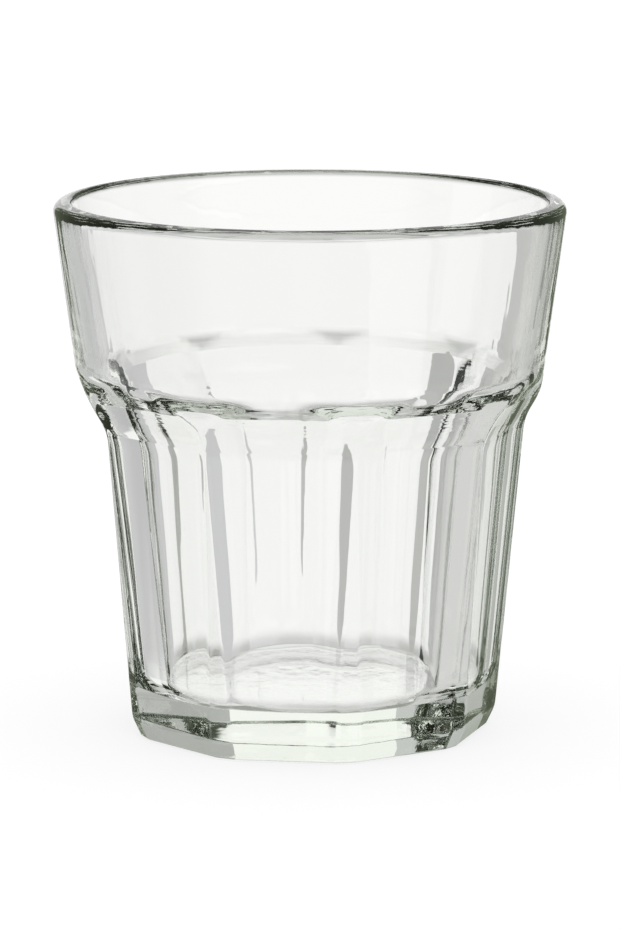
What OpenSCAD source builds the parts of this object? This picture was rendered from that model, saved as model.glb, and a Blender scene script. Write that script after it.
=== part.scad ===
// Pressed espresso glass: a smooth, flared collar above a faceted, tapering body with a thick base.
// It is one continuous piece of glass. Sizes are in millimetres, Z is the axis, the foot stands on Z = 0.

/* [Overall] */
// Height from the foot to the top of the lip
glass_h = 67; // [62:0.5:76]
// Diameter across the widest part of the lip
rim_d = 64; // [62:0.2:72]

/* [Lip] */
// Thickness of the fire-polished lip
lip_t = 2.3; // [2:0.1:2.8]
// Slope of the lip's top, down towards the outside, in degrees
lip_tilt = 14; // [8:1:20]
// Radius of the lip's outer edge
lip_round_out = 1.3; // [1:0.1:1.4]
// Radius of the lip's inner edge
lip_round_in = 0.6; // [0.4:0.1:0.8]

/* [Collar] */
// Height from the top of the lip down to the collar's lower edge
collar_h = 24.6; // [20:0.2:28]
// Draft of the collar's outside, in degrees
collar_draft = 7.6; // [5:0.1:9]
// Glass thickness at the foot of the collar
collar_wall = 3.1; // [2.6:0.1:3.6]

/* [Shoulder] */
// Height of the slope that joins the collar to the body
shoulder_h = 3.2; // [2.6:0.1:4.5]
// Radius that softens both ends of the slope
shoulder_blend = 7; // [1:0.5:7]

/* [Body] */
// Number of flat facets
facets = 9; // [8:1:12]
// Diameter across the ribs, just under the shoulder
body_d = 54; // [51:0.2:55]
// Diameter across the ribs, at the foot
foot_d = 46.4; // [44:0.2:50]
// Depth of a facet's middle below the ribs, just under the shoulder
facet_depth_top = 1.6; // [0.8:0.05:1.8]
// Depth of a facet's middle below the ribs, at the foot
facet_depth_foot = 0.9; // [0.6:0.05:1.3]

/* [Facet arches] */
// Height of a facet's arch above the collar's lower edge
arch_h = 3.5; // [1:0.1:4.5]
// Slope of the run-out at a facet's top, in degrees from upright
runout_slope = 30; // [25:1:40]
// Radius where the facet turns into its run-out
runout_r = 6; // [3:0.5:14]

/* [Inside] */
// Glass thickness between the cavity and a facet's middle, just under the shoulder
wall_top = 2.6; // [2:0.1:3.2]
// Glass thickness between the cavity and a facet's middle, at the cavity's floor
wall_floor = 3.5; // [2.6:0.1:4.5]
// Thickness of the base in its middle
base_t = 6; // [4.5:0.1:8]
// Height of the bevel between the cavity's wall and its floor
floor_bevel_h = 1.3; // [0.8:0.1:2]
// Slope of that bevel, in degrees from upright
floor_bevel_slope = 32; // [20:1:45]
// Radius where the wall turns into the bevel
floor_round = 4; // [0.5:0.5:5]
// Radius where the bevel meets the floor
floor_fillet = 0.3; // [0.1:0.1:0.6]

/* [Stacking ledge] */
// Height of the ledge's middle above the collar's lower edge
ledge_up = 2.5; // [2:0.1:4]
// Height of the ledge's slope
ledge_h = 1.7; // [1.4:0.1:2.4]
// Slope of the ledge, in degrees from upright
ledge_slope = 45; // [35:1:50]
// Radius where the collar's inside turns into the ledge
ledge_round = 2.5; // [0.5:0.5:4]
// Radius at the ledge's foot
ledge_fillet = 0.3; // [0.1:0.1:0.6]
// Height of the flare that leads from the body's cavity up to the ledge
flare_h = 4.9; // [3.5:0.1:6]
// Radius at the flare's foot
flare_blend = 1; // [0.5:0.5:3]

/* [Foot] */
// Height of the sloping heel
heel_h = 2.4; // [1.5:0.1:3.5]
// Slope of the heel, in degrees from upright
heel_slope = 25; // [15:1:32]
// Radius where a wall turns into the heel
heel_blend = 4; // [1:0.5:6]
// Radius of the edge that the glass stands inside
heel_r = 0.5; // [0.3:0.1:1]
// Diameter of the hollow under the base
hollow_d = 33; // [24:0.5:36]
// Depth of the hollow under the base
hollow_h = 0.15; // [0.05:0.05:0.6]

/* [Hidden] */

$fn = 180;
arc_steps = 8;   // straight steps in a blend
lip_steps = 12;  // straight steps round each edge of the lip
cut_margin = 2;  // how far a cut reaches past the glass

rim_r = rim_d / 2;

// Centres of the lip's inner and outer edges, whose common tangent is the lip's top
lip_in = [rim_r - lip_t + lip_round_in, glass_h - lip_round_in];
lip_out_x = rim_r - lip_round_out;
lip_fall = (lip_round_out - lip_round_in + (lip_out_x - lip_in.x) * sin(lip_tilt)) / cos(lip_tilt);
lip_out = [lip_out_x, lip_in.y - lip_fall];

// Heights of the collar's lower edge, of the body's top, of the arches, of the ledge's two edges, of the
// flare's foot and of the floor bevel's upper edge
collar_z = glass_h - collar_h;
body_z = collar_z - shoulder_h;
arch_z = collar_z + arch_h;
ledge_top_z = collar_z + ledge_up + ledge_h / 2;
ledge_foot_z = ledge_top_z - ledge_h;
flare_z = ledge_foot_z - flare_h;
bevel_z = base_t + floor_bevel_h;

// Radius of the collar's outside at height z
function collar_r(z) =
    lip_out.x + lip_round_out / cos(collar_draft) + (z - lip_out.y) * tan(collar_draft);

// Radius of the ribs and distance of the facets from the axis at height z
rib_taper = (body_d - foot_d) / 2 / body_z;
facet_taper = rib_taper - (facet_depth_top - facet_depth_foot) / body_z;
facet_foot = foot_d / 2 - facet_depth_foot;
function rib_r(z) = foot_d / 2 + z * rib_taper;
function facet_r(z) = facet_foot + z * facet_taper;

// Radius of the cavity's lower wall at height z
bore_foot = facet_r(base_t) - wall_floor;
bore_top = facet_r(body_z) - wall_top;
bore_taper = (bore_top - bore_foot) / (body_z - base_t);
function bore_r(z) = bore_foot + (z - base_t) * bore_taper;

// Points of an arc about c, from angle a0 to angle a1
function arc(c, r, a0, a1, steps) =
    [for (i = [0 : steps]) let (a = a0 + (a1 - a0) * i / steps) c + r * [cos(a), sin(a)]];

// Points of a blend of radius r at corner p, between the points before and after it
function blend(before, p, after, r) =
    let (
        u = (before - p) / norm(before - p),
        v = (after - p) / norm(after - p),
        half = acos(u * v) / 2,
        c = p + (u + v) / norm(u + v) * r / sin(half),
        s = p + u * r / tan(half) - c,
        e = p + v * r / tan(half) - c,
        a0 = atan2(s.y, s.x),
        turn = sign(s.x * e.y - s.y * e.x) * (180 - 2 * half)
    )
    arc(c, r, a0, a0 + turn, arc_steps);

// Points of the hollow under the base, a shallow cap of a sphere, from the axis outwards
function hollow() =
    let (
        r = hollow_d / 2,
        cap_r = (r * r + hollow_h * hollow_h) / (2 * hollow_h)
    )
    arc([0, hollow_h - cap_r], cap_r, 90, 90 - asin(r / cap_r), arc_steps);

// Points of the lip, from the collar's outside over the top to the collar's inside above point p
function lip(p) =
    let (
        d = lip_in - p,
        inside = atan2(d.y, d.x) + asin(lip_round_in / norm(d)) + 90
    )
    concat(
        arc(lip_out, lip_round_out, -collar_draft, 90 - lip_tilt, lip_steps),
        arc(lip_in, lip_round_in, 90 - lip_tilt, inside, lip_steps)
    );

// Points of the heel below a wall that stands at radius r at the heel's height and runs up to point p
function heel(r, p) =
    let (
        top = [r, heel_h],
        toe = [r - heel_h * tan(heel_slope), 0]
    )
    concat(
        blend([0, 0], toe, top, heel_r),
        blend(toe, top, p, heel_blend)
    );

// Half of the glass cut through a rib, before the facets are cut
module wall_section() {
    heel_top = [rib_r(heel_h), heel_h];
    body_top = [body_d / 2, body_z];
    collar_foot = [collar_r(collar_z), collar_z];
    ledge_top = [collar_r(ledge_top_z) - collar_wall, ledge_top_z];
    ledge_foot = [ledge_top.x - ledge_h * tan(ledge_slope), ledge_foot_z];
    flare_foot = [bore_r(flare_z), flare_z];
    bevel_top = [bore_r(bevel_z), bevel_z];
    floor_edge = [bevel_top.x - floor_bevel_h * tan(floor_bevel_slope), base_t];
    floor_middle = [0, base_t];
    lip_points = lip(ledge_top);
    lip_inside = lip_points[len(lip_points) - 1];
    polygon(concat(
        hollow(),
        heel(heel_top.x, body_top),
        blend(heel_top, body_top, collar_foot, shoulder_blend),
        blend(body_top, collar_foot, lip_points[0], shoulder_blend),
        lip_points,
        blend(lip_inside, ledge_top, ledge_foot, ledge_round),
        blend(ledge_top, ledge_foot, flare_foot, ledge_fillet),
        blend(ledge_foot, flare_foot, bevel_top, flare_blend),
        blend(flare_foot, bevel_top, floor_edge, floor_round),
        blend(bevel_top, floor_edge, floor_middle, floor_fillet),
        [floor_middle]
    ));
}

// What one facet takes off the outside: a flat with a rounded heel and an arched run-out
module facet_cut() {
    outer = rim_r + cut_margin;
    arch = [collar_r(arch_z), arch_z];
    turn_z = (arch.x - facet_foot - arch_z * tan(runout_slope)) / (facet_taper - tan(runout_slope));
    heel_top = [facet_r(heel_h), heel_h];
    turn = [facet_r(turn_z), turn_z];
    runout_end = [outer, arch_z + (outer - arch.x) / tan(runout_slope)];
    heel_points = heel(heel_top.x, turn);
    rotate([90, 0, 0])
        linear_extrude(height = rim_d, center = true)
            polygon(concat(
                [[heel_points[0].x, -cut_margin]],
                heel_points,
                blend(heel_top, turn, runout_end, runout_r),
                [runout_end, [outer, -cut_margin]]
            ));
}

// The revolved glass with its first n facets cut, one after the other, with a rib on +X
module faceted(n) {
    difference() {
        if (n == 1)
            rotate_extrude() wall_section();
        else
            faceted(n - 1);
        rotate([0, 0, (n - 0.5) * 360 / facets]) facet_cut();
    }
}

// The whole glass
module tumbler() {
    color([0.87, 0.93, 0.9, 0.5]) faceted(facets);
}

tumbler();
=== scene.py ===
"""Pressed espresso glass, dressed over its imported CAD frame."""
import math

import bpy
import numpy as np
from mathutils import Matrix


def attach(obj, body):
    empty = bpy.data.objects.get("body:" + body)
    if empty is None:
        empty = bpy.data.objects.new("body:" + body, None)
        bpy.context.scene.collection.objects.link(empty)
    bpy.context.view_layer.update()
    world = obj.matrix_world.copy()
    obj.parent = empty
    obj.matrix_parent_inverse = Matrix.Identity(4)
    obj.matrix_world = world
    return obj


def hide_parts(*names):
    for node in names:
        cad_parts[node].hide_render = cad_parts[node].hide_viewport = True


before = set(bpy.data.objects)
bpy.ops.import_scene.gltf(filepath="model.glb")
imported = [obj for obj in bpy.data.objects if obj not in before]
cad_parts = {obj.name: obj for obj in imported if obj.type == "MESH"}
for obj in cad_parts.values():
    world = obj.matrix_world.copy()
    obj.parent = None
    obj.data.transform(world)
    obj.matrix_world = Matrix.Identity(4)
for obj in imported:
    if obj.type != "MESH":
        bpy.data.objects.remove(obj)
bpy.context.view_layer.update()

MM = 0.001

# The glass, in millimetres and degrees, with the same values as the part's source.
GLASS_H = 67.0
RIM_D = 64.0
LIP_T = 2.3
LIP_TILT = 14.0
LIP_ROUND_OUT = 1.3
LIP_ROUND_IN = 0.6
COLLAR_H = 24.6
COLLAR_DRAFT = 7.6
COLLAR_WALL = 3.1
SHOULDER_H = 3.2
SHOULDER_BLEND = 7.0
FACETS = 9
BODY_D = 54.0
FOOT_D = 46.4
FACET_DEPTH_TOP = 1.6
FACET_DEPTH_FOOT = 0.9
ARCH_H = 3.5
RUNOUT_SLOPE = 30.0
RUNOUT_R = 6.0
RUNOUT_PAST = 2.0
WALL_TOP = 2.6
WALL_FLOOR = 3.5
BASE_T = 6.0
FLOOR_BEVEL_H = 1.3
FLOOR_BEVEL_SLOPE = 32.0
FLOOR_ROUND = 4.0
FLOOR_FILLET = 0.3
LEDGE_UP = 2.5
LEDGE_H = 1.7
LEDGE_SLOPE = 45.0
LEDGE_ROUND = 2.5
LEDGE_FILLET = 0.3
FLARE_H = 4.9
FLARE_BLEND = 1.0
HEEL_H = 2.4
HEEL_SLOPE = 25.0
HEEL_BLEND = 4.0
HEEL_R = 0.5
HOLLOW_D = 33.0
HOLLOW_H = 0.15

# Fire polish: how far the ribs and the arches round over, and the heights where one becomes the other.
RIB_SOFT = 0.03
ARCH_SOFT = 0.3
ARCH_SOFT_FROM = 36.0
ARCH_SOFT_TO = 42.0

# Columns of the mesh: the first gap at a rib in degrees, its growth away from the rib, and the counts.
RIB_SPACING = 0.1
RIB_GROWTH = 1.3
RIB_STEPS = 10
FLAT_STEPS = 16

# Rows of the mesh: gaps in millimetres, and the heights between which the arches get the closest rows.
BODY_ROW = 1.5
ARCH_ROW = 0.36
COLLAR_ROW = 2.0
BORE_ROW = 2.0
ARCH_ROWS_FROM = 34.5
ARCH_ROWS_TO = 49.5
HEEL_GAP = 0.8
LIP_GAP = 0.3

# Steps round each blend, and across the underside and the inner floor.
BLEND_STEPS = 16
HEEL_STEPS = 8
LIP_OUT_STEPS = 16
LIP_IN_STEPS = 14
LEDGE_ROUND_STEPS = 12
LEDGE_FILLET_STEPS = 6
FLARE_STEPS = 8
FLOOR_ROUND_STEPS = 12
FLOOR_FILLET_STEPS = 8
HOLLOW_STEPS = 9
FOOT_STEPS = 4
FLOOR_STEPS = 7

# The photograph's camera, found from the rim and the foot.
PHOTO_H = 930
SENSOR_H = 36.0
FOCAL_PX = 5134.48
CAMERA_PITCH = 10.217
CAMERA_AZIMUTH = -1.76
CAMERA_DISTANCE = 635.56
CAMERA_HEIGHT = 147.80
CAMERA_NEAR = 0.01


def arc(centre, radius, start, end, steps):
    """Points on an arc, with angles in degrees."""
    angles = np.radians(np.linspace(start, end, steps + 1))
    return np.stack([centre[0] + radius * np.cos(angles), centre[1] + radius * np.sin(angles)], 1)


def blend(before, corner, after, radius, steps=BLEND_STEPS):
    """A rounded corner between two straight lines."""
    before, corner, after = (np.asarray(point, float) for point in (before, corner, after))
    u = (before - corner) / np.linalg.norm(before - corner)
    v = (after - corner) / np.linalg.norm(after - corner)
    half = math.acos(np.clip(u @ v, -1, 1)) / 2
    centre = corner + (u + v) / np.linalg.norm(u + v) * radius / math.sin(half)
    first = corner + u * radius / math.tan(half) - centre
    last = corner + v * radius / math.tan(half) - centre
    start = math.degrees(math.atan2(first[1], first[0]))
    turn = math.copysign(180 - 2 * math.degrees(half), first[0] * last[1] - first[1] * last[0])
    return arc(centre, radius, start, start + turn, steps)


def refined(points, step):
    """The same polyline with no span longer than step."""
    out = [points[0]]
    for a, b in zip(points[:-1], points[1:]):
        count = max(1, math.ceil(np.linalg.norm(b - a) / step))
        out.extend(a + (b - a) * i / count for i in range(1, count + 1))
    return np.array(out)


def smooth(value, low, high):
    """0 below low, 1 above high, eased between."""
    t = np.clip((value - low) / (high - low), 0, 1)
    return t * t * (3 - 2 * t)


def tan(degrees):
    """The tangent of an angle in degrees."""
    return math.tan(math.radians(degrees))


# Heights of the collar's lower edge and of the body's top, and how the ribs and the facets lean.
COLLAR_Z = GLASS_H - COLLAR_H
BODY_Z = COLLAR_Z - SHOULDER_H
RIB_TAPER = (BODY_D - FOOT_D) / 2 / BODY_Z
FACET_FOOT = FOOT_D / 2 - FACET_DEPTH_FOOT
FACET_TAPER = ((BODY_D - FOOT_D) / 2 - FACET_DEPTH_TOP + FACET_DEPTH_FOOT) / BODY_Z


def lip_centres():
    """Centres of the lip's inner and outer edges, whose common tangent is the lip's top."""
    tilt = math.radians(LIP_TILT)
    inner = np.array([RIM_D / 2 - LIP_T + LIP_ROUND_IN, GLASS_H - LIP_ROUND_IN])
    x = RIM_D / 2 - LIP_ROUND_OUT
    fall = (LIP_ROUND_OUT - LIP_ROUND_IN + (x - inner[0]) * math.sin(tilt)) / math.cos(tilt)
    return inner, np.array([x, inner[1] - fall])


def collar_r(z):
    """Radius of the collar's outside."""
    _, lip_out = lip_centres()
    draft = math.radians(COLLAR_DRAFT)
    return lip_out[0] + LIP_ROUND_OUT / math.cos(draft) + (z - lip_out[1]) * math.tan(draft)


def facet_r(z):
    """Distance of the facets from the axis."""
    return FACET_FOOT + z * FACET_TAPER


def lip_section(ledge_top):
    """The lip, from the collar's outside to its inside."""
    lip_in, lip_out = lip_centres()
    reach = lip_in - np.array(ledge_top)
    inner_tilt = math.atan2(reach[1], reach[0]) + math.asin(LIP_ROUND_IN / np.linalg.norm(reach))
    return np.concatenate([
        arc(lip_out, LIP_ROUND_OUT, -COLLAR_DRAFT, 90 - LIP_TILT, LIP_OUT_STEPS),
        arc(lip_in, LIP_ROUND_IN, 90 - LIP_TILT, math.degrees(inner_tilt) + 90, LIP_IN_STEPS),
    ])


def heel_section(foot_r, taper, above):
    """The sloping heel under a wall, as two blends."""
    top = (foot_r + HEEL_H * taper, HEEL_H)
    toe = (top[0] - HEEL_H * tan(HEEL_SLOPE), 0)
    return [
        blend((0, 0), toe, top, HEEL_R, HEEL_STEPS),
        blend(toe, top, above, HEEL_BLEND, HEEL_STEPS),
    ]


def facet_section():
    """A facet cut through its middle, from the heel to past its arch."""
    arch_z = COLLAR_Z + ARCH_H
    arch_r = collar_r(arch_z)
    slope = tan(RUNOUT_SLOPE)
    turn_z = (arch_r - FACET_FOOT - arch_z * slope) / (FACET_TAPER - slope)
    turn = (facet_r(turn_z), turn_z)
    past_r = RIM_D / 2 + RUNOUT_PAST
    runout = (past_r, arch_z + (past_r - arch_r) / slope)
    return np.concatenate([
        *heel_section(FACET_FOOT, FACET_TAPER, turn),
        blend((FACET_FOOT, 0), turn, runout, RUNOUT_R),
        [runout],
    ])


def inside_section(lip, ledge_top):
    """The cavity, from the lip down to the edge of the floor."""
    ledge_foot_z = ledge_top[1] - LEDGE_H
    flare_z = ledge_foot_z - FLARE_H
    bore_foot = facet_r(BASE_T) - WALL_FLOOR
    bore_taper = (facet_r(BODY_Z) - WALL_TOP - bore_foot) / (BODY_Z - BASE_T)
    ledge_foot = (ledge_top[0] - LEDGE_H * tan(LEDGE_SLOPE), ledge_foot_z)
    flare_foot = (bore_foot + (flare_z - BASE_T) * bore_taper, flare_z)
    bevel_top = (bore_foot + FLOOR_BEVEL_H * bore_taper, BASE_T + FLOOR_BEVEL_H)
    floor_edge = (bevel_top[0] - FLOOR_BEVEL_H * tan(FLOOR_BEVEL_SLOPE), BASE_T)
    return np.concatenate([
        lip[-1:],
        blend(lip[-1], ledge_top, ledge_foot, LEDGE_ROUND, LEDGE_ROUND_STEPS),
        blend(ledge_top, ledge_foot, flare_foot, LEDGE_FILLET, LEDGE_FILLET_STEPS),
        blend(ledge_foot, flare_foot, bevel_top, FLARE_BLEND, FLARE_STEPS),
        blend(flare_foot, bevel_top, floor_edge, FLOOR_ROUND, FLOOR_ROUND_STEPS),
        blend(bevel_top, floor_edge, (0, BASE_T), FLOOR_FILLET, FLOOR_FILLET_STEPS),
    ])


def sections():
    """(outside, lip, inside, facet) as radius and height, in millimetres."""
    ledge_top_z = COLLAR_Z + LEDGE_UP + LEDGE_H / 2
    ledge_top = (collar_r(ledge_top_z) - COLLAR_WALL, ledge_top_z)
    lip = lip_section(ledge_top)
    body_top = (BODY_D / 2, BODY_Z)
    collar_foot = (collar_r(COLLAR_Z), COLLAR_Z)
    outside = np.concatenate([
        *heel_section(FOOT_D / 2, RIB_TAPER, body_top),
        blend((FOOT_D / 2, 0), body_top, collar_foot, SHOULDER_BLEND),
        blend(body_top, collar_foot, lip[0], SHOULDER_BLEND),
        lip[:1],
    ])
    return outside, lip, inside_section(lip, ledge_top), facet_section()


def sector_angles():
    """(angle round the glass, angle from the facet's middle), closer together by the ribs."""
    half = math.pi / FACETS
    growth = np.power(RIB_GROWTH, np.arange(RIB_STEPS)) - 1
    from_rib = np.radians(RIB_SPACING) * growth / (RIB_GROWTH - 1)
    dense = half - from_rib[::-1]
    right = np.concatenate([np.linspace(0, dense[0], FLAT_STEPS, endpoint=False), dense])
    off = np.concatenate([-right[::-1], right[1:-1]])
    around = np.concatenate([off + half * (2 * i + 1) for i in range(FACETS)])
    return around, np.tile(off, FACETS)


def shell_radius(z, off, outside, facet):
    """Radius of the outside at height z: the smaller of the round and the flat, rounded where they meet."""
    round_r = np.interp(z, outside[:, 1], outside[:, 0])
    flat_r = np.interp(z, facet[:, 1], facet[:, 0]) / np.cos(off)
    soft = RIB_SOFT + (ARCH_SOFT - RIB_SOFT) * smooth(z, ARCH_SOFT_FROM, ARCH_SOFT_TO)
    near = np.clip(1 - np.abs(round_r - flat_r) / soft, 0, 1)
    return np.minimum(round_r, flat_r) - soft * near * near / 4


def tumbler_rings():
    """Rings of points in order from the middle of the underside to the middle of the inner floor."""
    outside, lip, inside, facet = sections()
    around, off = sector_angles()

    def ring(r, z):
        return np.stack([r * np.cos(around), r * np.sin(around), np.broadcast_to(z, around.shape)], 1)

    heel = outside[:2 * HEEL_STEPS + 2, 1]
    heights = np.concatenate([
        heel,
        np.arange(heel[-1] + HEEL_GAP, ARCH_ROWS_FROM, BODY_ROW),
        np.arange(ARCH_ROWS_FROM, ARCH_ROWS_TO, ARCH_ROW),
        np.arange(ARCH_ROWS_TO, lip[0, 1] - LIP_GAP, COLLAR_ROW),
    ])
    shell = [ring(shell_radius(z, off, outside, facet), z) for z in heights]
    foot_r = np.linalg.norm(shell[0][:, :2], axis=1)
    hollow_r = HOLLOW_D / 2
    sphere_r = (hollow_r ** 2 + HOLLOW_H ** 2) / (2 * HOLLOW_H)
    hollow = [
        ring(r, HOLLOW_H - sphere_r + math.sqrt(sphere_r ** 2 - r * r))
        for r in np.linspace(0, hollow_r, HOLLOW_STEPS + 1)[1:-1]
    ]
    shares = np.linspace(0, 1, FOOT_STEPS + 1)[:-1]
    foot = [ring(hollow_r + (foot_r - hollow_r) * share, 0.0) for share in shares]
    lips = [ring(r, z) for r, z in lip]
    bore = [ring(r, z) for r, z in refined(inside, BORE_ROW)[1:]]
    floor = [ring(r, BASE_T) for r in np.linspace(inside[-1, 0], 0, FLOOR_STEPS + 1)[1:-1]]
    return np.array(hollow + foot + shell + lips + bore + floor)


def tumbler_mesh():
    """The closed mesh of the whole glass, in metres."""
    rings = tumbler_rings()
    rows, count = rings.shape[:2]
    points = np.concatenate([rings.reshape(-1, 3), [[0, 0, HOLLOW_H], [0, 0, BASE_T]]]) * MM
    here = np.arange(count)
    ahead = (here + 1) % count
    row = np.arange(rows - 1)[:, None] * count
    quads = np.stack([row + here, row + ahead, row + count + ahead, row + count + here], -1)
    under, top = rows * count, rows * count + 1
    last = (rows - 1) * count
    fans = [(under, b, a) for a, b in zip(here, ahead)]
    fans += [(top, last + a, last + b) for a, b in zip(here, ahead)]
    mesh = bpy.data.meshes.new("tumbler_glass")
    faces = quads.reshape(-1, 4).tolist() + [tuple(int(i) for i in fan) for fan in fans]
    mesh.from_pydata(points.tolist(), [], faces)
    mesh.validate()
    mesh.polygons.foreach_set("use_smooth", [True] * len(mesh.polygons))
    return mesh


class Nodes:
    """Short calls for building a node tree."""

    def __init__(self, tree):
        self.tree = tree

    def add(self, kind, **values):
        node = self.tree.nodes.new(kind)
        for name, value in values.items():
            setattr(node, name, value)
        return node

    def link(self, source, socket):
        self.tree.links.new(source, socket)

    def math(self, operation, a, b=None):
        node = self.add("ShaderNodeMath", operation=operation)
        for socket, value in zip(node.inputs, (a, b)):
            if isinstance(value, (int, float)):
                socket.default_value = value
            elif value is not None:
                self.link(value, socket)
        return node.outputs[0]

    def split(self, vector):
        """The x, y and z of a vector."""
        node = self.add("ShaderNodeSeparateXYZ")
        self.link(vector, node.inputs[0])
        return node.outputs

    def scaled(self, vector, scale):
        """The vector with each axis scaled."""
        node = self.add("ShaderNodeMapping")
        node.inputs["Scale"].default_value = scale
        self.link(vector, node.inputs["Vector"])
        return node.outputs["Vector"]

    def ease(self, value, low, high):
        """0 where value is below low, 1 above high."""
        node = self.add("ShaderNodeMapRange", interpolation_type="SMOOTHSTEP")
        node.inputs["From Min"].default_value = low
        node.inputs["From Max"].default_value = high
        self.link(value, node.inputs["Value"])
        return node.outputs["Result"]

    def step(self, value, middle, edge):
        """0 below the middle, 1 above it, with an edge that wide."""
        return self.ease(value, middle - edge / 2, middle + edge / 2)

    def band(self, value, low, high, edge):
        """1 between low and high, 0 outside, with edges that wide."""
        return self.math("SUBTRACT", self.step(value, low, edge), self.step(value, high, edge))

    def noise(self, place, scale, detail):
        """Smooth noise from 0 to 1."""
        node = self.add("ShaderNodeTexNoise")
        node.inputs["Scale"].default_value = scale
        node.inputs["Detail"].default_value = detail
        self.link(place, node.inputs["Vector"])
        return node.outputs["Fac"]

    def bump(self, height, depth, normal=None):
        """A normal for a relief that deep, in metres."""
        node = self.add("ShaderNodeBump")
        node.inputs["Distance"].default_value = depth
        self.link(height, node.inputs["Height"])
        if normal:
            self.link(normal, node.inputs["Normal"])
        return node.outputs["Normal"]

    def both(self, a, b):
        """1 where a and b are."""
        return self.math("MULTIPLY", a, b)

    def beyond(self, value):
        """1 where value is 0."""
        return self.math("SUBTRACT", 1.0, value)

    def mix(self, factor, a, b):
        node = self.add("ShaderNodeMix", data_type="RGBA")
        self.link(factor, node.inputs["Factor"])
        sockets = [s for s in node.inputs if s.type == "RGBA"]
        for socket, value in zip(sockets, (a, b)):
            if isinstance(value, tuple):
                socket.default_value = (*value, 1.0)
            else:
                self.link(value, socket)
        return [s for s in node.outputs if s.type == "RGBA"][0]


# The glass: clear, with a faint green in thick places.
GLASS_TINT = (0.60, 0.825, 0.45)
GLASS_DENSITY = 4.0
GLASS_IOR = 1.52

# Its surface, in metres: each relief has the scale of its noise, its zone and its depth.
DETAIL = 2.0
# Soft draw marks run down the walls.
DRAW_SCALE = 260.0
DRAW_LENGTH = 12.0
DRAW_FROM = 0.007
DRAW_FULL = 0.0105
DRAW_DEPTH = 0.00005
# Fine waves run round the shoulder.
BAND_SCALE = 1500.0
BAND_LENGTH = 10.0
BAND_LOW = 0.0415
BAND_HIGH = 0.0450
BAND_EDGE = 0.0015
BAND_DEPTH = 0.00004
# A ripple runs round the heel.
FOOT_SCALE = 500.0
FOOT_DETAIL = 3.0
FOOT_FULL = 0.00128
FOOT_TOP = 0.0032
FOOT_INSIDE = 0.0165
FOOT_OUTSIDE = 0.018975
FOOT_DEPTH = 0.00003
# A faint swell lies on the inner floor.
FLOOR_SCALE = 300.0
FLOOR_LOW = 0.0055
FLOOR_HIGH = 0.0066
FLOOR_EDGE = 0.0004
FLOOR_FULL = 0.0175
FLOOR_END = 0.0185
FLOOR_DEPTH = 0.00004


def glass_material():
    """Clear pressed glass."""
    material = bpy.data.materials.new("clear_glass")
    material.use_nodes = True
    n = Nodes(material.node_tree)
    shader = n.tree.nodes["Principled BSDF"]
    shader.inputs["Base Color"].default_value = (1.0, 1.0, 1.0, 1.0)
    shader.inputs["Roughness"].default_value = 0.0
    shader.inputs["IOR"].default_value = GLASS_IOR
    shader.inputs["Transmission Weight"].default_value = 1.0
    n.link(glass_normal(n), shader.inputs["Normal"])
    absorb = n.add("ShaderNodeVolumeAbsorption")
    absorb.inputs["Color"].default_value = (*GLASS_TINT, 1.0)
    absorb.inputs["Density"].default_value = GLASS_DENSITY
    n.link(absorb.outputs["Volume"], n.tree.nodes["Material Output"].inputs["Volume"])
    return material


def glass_normal(n):
    """Draw marks, shoulder waves, heel ripple and floor swell, one over the other."""
    place = n.add("ShaderNodeTexCoord").outputs["Object"]
    x, y, z = n.split(place)
    radius = n.math("SQRT", n.math("ADD", n.math("MULTIPLY", x, x), n.math("MULTIPLY", y, y)))

    tall = n.scaled(place, (1.0, 1.0, 1.0 / DRAW_LENGTH))
    wall = n.ease(z, DRAW_FROM, DRAW_FULL)
    marks = n.both(n.noise(tall, DRAW_SCALE, DETAIL), wall)
    normal = n.bump(marks, DRAW_DEPTH)

    wide = n.scaled(place, (1.0 / BAND_LENGTH, 1.0 / BAND_LENGTH, 1.0))
    shoulder = n.band(z, BAND_LOW, BAND_HIGH, BAND_EDGE)
    waves = n.both(n.noise(wide, BAND_SCALE, DETAIL), shoulder)
    normal = n.bump(waves, BAND_DEPTH, normal)

    low = n.beyond(n.ease(z, FOOT_FULL, FOOT_TOP))
    heel = n.both(low, n.ease(radius, FOOT_INSIDE, FOOT_OUTSIDE))
    ripple = n.both(n.noise(place, FOOT_SCALE, FOOT_DETAIL), heel)
    normal = n.bump(ripple, FOOT_DEPTH, normal)

    inside = n.beyond(n.ease(radius, FLOOR_FULL, FLOOR_END))
    floor = n.both(inside, n.band(z, FLOOR_LOW, FLOOR_HIGH, FLOOR_EDGE))
    swell = n.both(n.noise(place, FLOOR_SCALE, DETAIL), floor)
    return n.bump(swell, FLOOR_DEPTH, normal)


# The studio that the glass sees: brightness by direction, in degrees.
# Azimuth 0 is straight away from the photo's camera and grows to its right.
WHITE = (1.0, 1.0, 1.0)
ROOM = (0.055, 0.062, 0.046)

# A white panel stands behind the glass, and widens above it.
PANEL = (1.0, 1.0, 0.99)
PANEL_LEFT = -15.0
PANEL_RIGHT = 14.4
PANEL_SIDE_EDGE = 0.6
PANEL_TOP = 56.0
PANEL_TOP_EDGE = 8.0
PANEL_FOOT = -25.0
PANEL_FADE = 22.0
HIGH_WIDTH = 29.0
HIGH_SIDE_EDGE = 3.0
HIGH_FROM = 18.0
HIGH_EDGE = 6.0

# Smaller white cards stand round the glass for the other sides: azimuth, half width, lowest, highest.
CARDS = (
    (-45.0, 15.0, -43.0, -20.5),
    (-90.0, 14.0, -17.0, 9.0),
    (135.0, 16.0, -48.0, -3.0),
)
CARD_EDGE = 6.0

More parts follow.
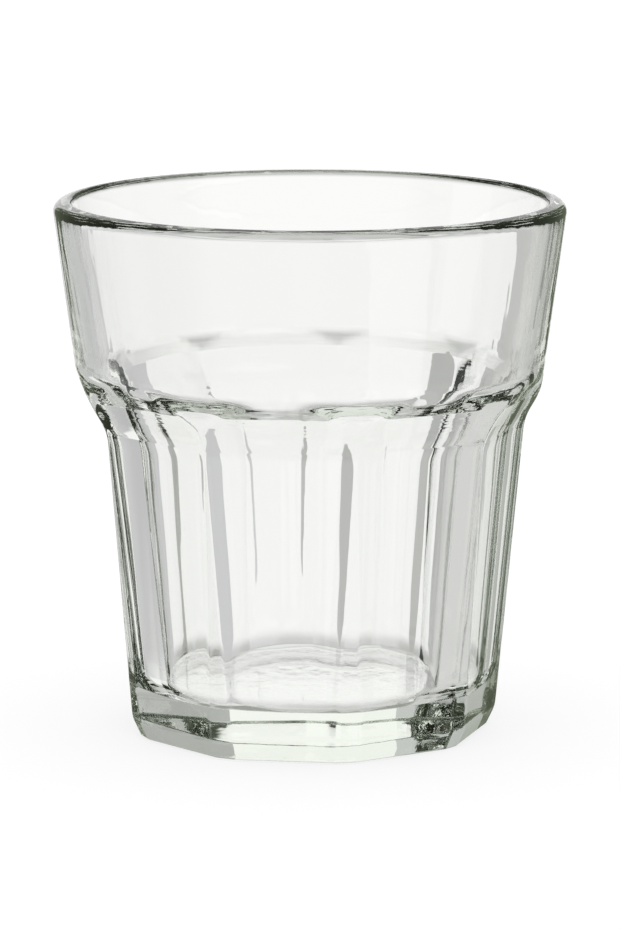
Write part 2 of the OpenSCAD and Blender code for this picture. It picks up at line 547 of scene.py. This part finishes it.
# Grey walls to the left, to the right and behind the camera, up to the dark of the room.
WALL_LEFT = (0.63, 0.63, 0.64)
WALL_LEFT_FAR = (0.54, 0.54, 0.55)
LEFT_FAR_TO = -60.0
LEFT_NEAR_FROM = -18.0
WALL_RIGHT = (0.51, 0.51, 0.50)
WALL_RIGHT_FAR = (0.68, 0.68, 0.67)
RIGHT_NEAR_TO = 22.0
RIGHT_FAR_FROM = 50.0
WALL_RIGHT_HIGH = (0.48, 0.48, 0.48)
RIGHT_LOW_TO = -12.0
RIGHT_HIGH_FROM = 4.0
WALL_MEET = 8.0
WALL_BACK = (0.32, 0.33, 0.31)
WALL_END = 84.0
WALL_EDGE = 10.0
WALL_HEAD = 24.0

# A grey table, darker near the glass and lighter under it.
TABLE = (0.65, 0.65, 0.64)
TABLE_FROM = -34.0
TABLE_EDGE = 8.0
TABLE_NEAR = (0.47, 0.47, 0.46)
NEAR_FROM = -51.0
UNDER = (0.80, 0.80, 0.79)
UNDER_FROM = -60.0
TABLE_BACK = (0.34, 0.35, 0.32)
STRIP_EDGE = 6.0

# A soft light overhead.
TOP_LIGHT = (0.98, 0.98, 0.97)
TOP_FROM = 60.0

# What the faces mirror: the same panel, a pale front and a dim room.
SHINE = (1.0, 1.0, 1.0)
SHINE_ROOM = (0.24, 0.28, 0.19)
SHINE_FRONT = (0.85, 0.85, 0.84)
FRONT_FROM = 125.0
FRONT_SIDE_EDGE = 20.0
FRONT_LOW = -35.0
FRONT_HIGH = 25.0
FRONT_EDGE = 12.0

# The light on everything else, and the floor.
PLAIN_LIGHT = (0.9, 0.9, 0.9)
FLOOR_SIZE = 6.0
FLOOR_COLOUR = (0.3, 0.3, 0.3, 1.0)
FLOOR_GLOW = 0.78
FLOOR_ROUGHNESS = 0.9

# Bounces after which a ray inside the glass ends.
BOUNCES = 10


def studio_walls(n, azimuth, height, behind):
    """The walls round the glass."""
    left = n.mix(n.ease(azimuth, LEFT_FAR_TO, LEFT_NEAR_FROM), WALL_LEFT_FAR, WALL_LEFT)
    right = n.mix(n.ease(azimuth, RIGHT_NEAR_TO, RIGHT_FAR_FROM), WALL_RIGHT, WALL_RIGHT_FAR)
    right = n.mix(n.ease(height, RIGHT_LOW_TO, RIGHT_HIGH_FROM), right, WALL_RIGHT_HIGH)
    walls = n.mix(n.step(azimuth, 0, WALL_MEET), left, right)
    walls = n.mix(behind, walls, WALL_BACK)
    return n.mix(n.step(height, WALL_HEAD, WALL_EDGE), walls, ROOM)


def studio_table(n, height, behind):
    """The table round and under the glass."""
    table = n.mix(n.step(height, NEAR_FROM, STRIP_EDGE), TABLE_NEAR, TABLE)
    table = n.mix(n.step(height, UNDER_FROM, STRIP_EDGE), UNDER, table)
    return n.mix(behind, table, TABLE_BACK)


def studio_panel(n, azimuth, height):
    """1 on the panel behind the glass."""
    sides = n.band(azimuth, PANEL_LEFT, PANEL_RIGHT, PANEL_SIDE_EDGE)
    below_top = n.beyond(n.step(height, PANEL_TOP, PANEL_TOP_EDGE))
    return n.both(n.both(sides, below_top), n.step(height, PANEL_FOOT, PANEL_FADE))


def studio_colour(n):
    """The studio's colour in the direction that a ray leaves by: (through the glass, off its face)."""
    x, y, z = n.split(n.add("ShaderNodeTexCoord").outputs["Generated"])
    degrees = 180 / math.pi
    azimuth = n.math("MULTIPLY", n.math("ARCTAN2", x, y), degrees)
    height = n.math("MULTIPLY", n.math("ARCSINE", z), degrees)
    aside = n.math("ABSOLUTE", azimuth)
    behind = n.step(aside, WALL_END, WALL_EDGE)

    panel = studio_panel(n, azimuth, height)
    front_height = n.band(height, FRONT_LOW, FRONT_HIGH, FRONT_EDGE)
    front = n.both(n.step(aside, FRONT_FROM, FRONT_SIDE_EDGE), front_height)
    mirrored = n.mix(panel, n.mix(front, SHINE_ROOM, SHINE_FRONT), SHINE)

    for middle, half, low, top in CARDS:
        sides = n.band(azimuth, middle - half, middle + half, PANEL_SIDE_EDGE)
        panel = n.math("MAXIMUM", panel, n.both(sides, n.band(height, low, top, CARD_EDGE)))
    high_sides = n.beyond(n.step(aside, HIGH_WIDTH, HIGH_SIDE_EDGE))
    high = n.both(high_sides, n.band(height, HIGH_FROM, PANEL_TOP, HIGH_EDGE))

    walls = studio_walls(n, azimuth, height, behind)
    colour = n.mix(n.step(height, TABLE_FROM, TABLE_EDGE), studio_table(n, height, behind), walls)
    colour = n.mix(panel, colour, PANEL)
    colour = n.mix(high, colour, PANEL)
    return n.mix(n.step(height, TOP_FROM, STRIP_EDGE), colour, TOP_LIGHT), mirrored


def studio_world():
    """White to the camera and plain soft light on the floor. Glass sees the studio round it."""
    world = bpy.data.worlds.new("studio")
    bpy.context.scene.world = world
    world.use_nodes = True
    n = Nodes(world.node_tree)
    path = n.add("ShaderNodeLightPath")
    by_glass = n.math("MAXIMUM", path.outputs["Is Glossy Ray"], path.outputs["Is Transmission Ray"])
    plain = n.mix(path.outputs["Is Camera Ray"], PLAIN_LIGHT, WHITE)
    background = world.node_tree.nodes["Background"]
    through, mirrored = studio_colour(n)
    seen = n.mix(path.outputs["Is Reflection Ray"], through, mirrored)
    n.link(n.mix(by_glass, plain, seen), background.inputs["Color"])


def studio_floor():
    """A plain white floor that keeps the contact shadow."""
    bpy.ops.mesh.primitive_plane_add(size=FLOOR_SIZE)
    floor = bpy.context.object
    floor.name = "floor"
    material = bpy.data.materials.new("white_floor")
    material.use_nodes = True
    shader = material.node_tree.nodes["Principled BSDF"]
    shader.inputs["Base Color"].default_value = FLOOR_COLOUR
    shader.inputs["Roughness"].default_value = FLOOR_ROUGHNESS
    shader.inputs["Specular IOR Level"].default_value = 0.0
    shader.inputs["Emission Color"].default_value = (1.0, 1.0, 1.0, 1.0)
    shader.inputs["Emission Strength"].default_value = FLOOR_GLOW
    floor.data.materials.append(material)
    floor.visible_glossy = False
    floor.visible_transmission = False


def photo_camera():
    """The camera at the photograph's viewing angle."""
    data = bpy.data.cameras.new("photo_camera")
    data.sensor_fit = "VERTICAL"
    data.sensor_height = SENSOR_H
    data.lens = FOCAL_PX * data.sensor_height / PHOTO_H
    data.clip_start = CAMERA_NEAR
    camera = bpy.data.objects.new("photo_camera", data)
    azimuth = math.radians(CAMERA_AZIMUTH)
    camera.location = (
        CAMERA_DISTANCE * MM * math.sin(azimuth),
        -CAMERA_DISTANCE * MM * math.cos(azimuth),
        CAMERA_HEIGHT * MM,
    )
    camera.rotation_euler = (math.radians(90 - CAMERA_PITCH), 0, azimuth)
    bpy.context.scene.collection.objects.link(camera)
    bpy.context.scene.camera = camera


def light_paths(scene):
    """How far light is followed through the glass."""
    scene.cycles.max_bounces = BOUNCES
    scene.cycles.transmission_bounces = BOUNCES
    scene.cycles.glossy_bounces = BOUNCES
    scene.cycles.caustics_reflective = False
    scene.cycles.caustics_refractive = False


def main():
    """The glass over its frame, then its studio."""
    scene = bpy.context.scene
    scene.view_settings.view_transform = "Standard"
    light_paths(scene)
    glass = bpy.data.objects.new("tumbler_glass", tumbler_mesh())
    scene.collection.objects.link(glass)
    glass.data.materials.append(glass_material())
    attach(glass, "root")
    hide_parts("tumbler")
    studio_world()
    studio_floor()
    photo_camera()


main()
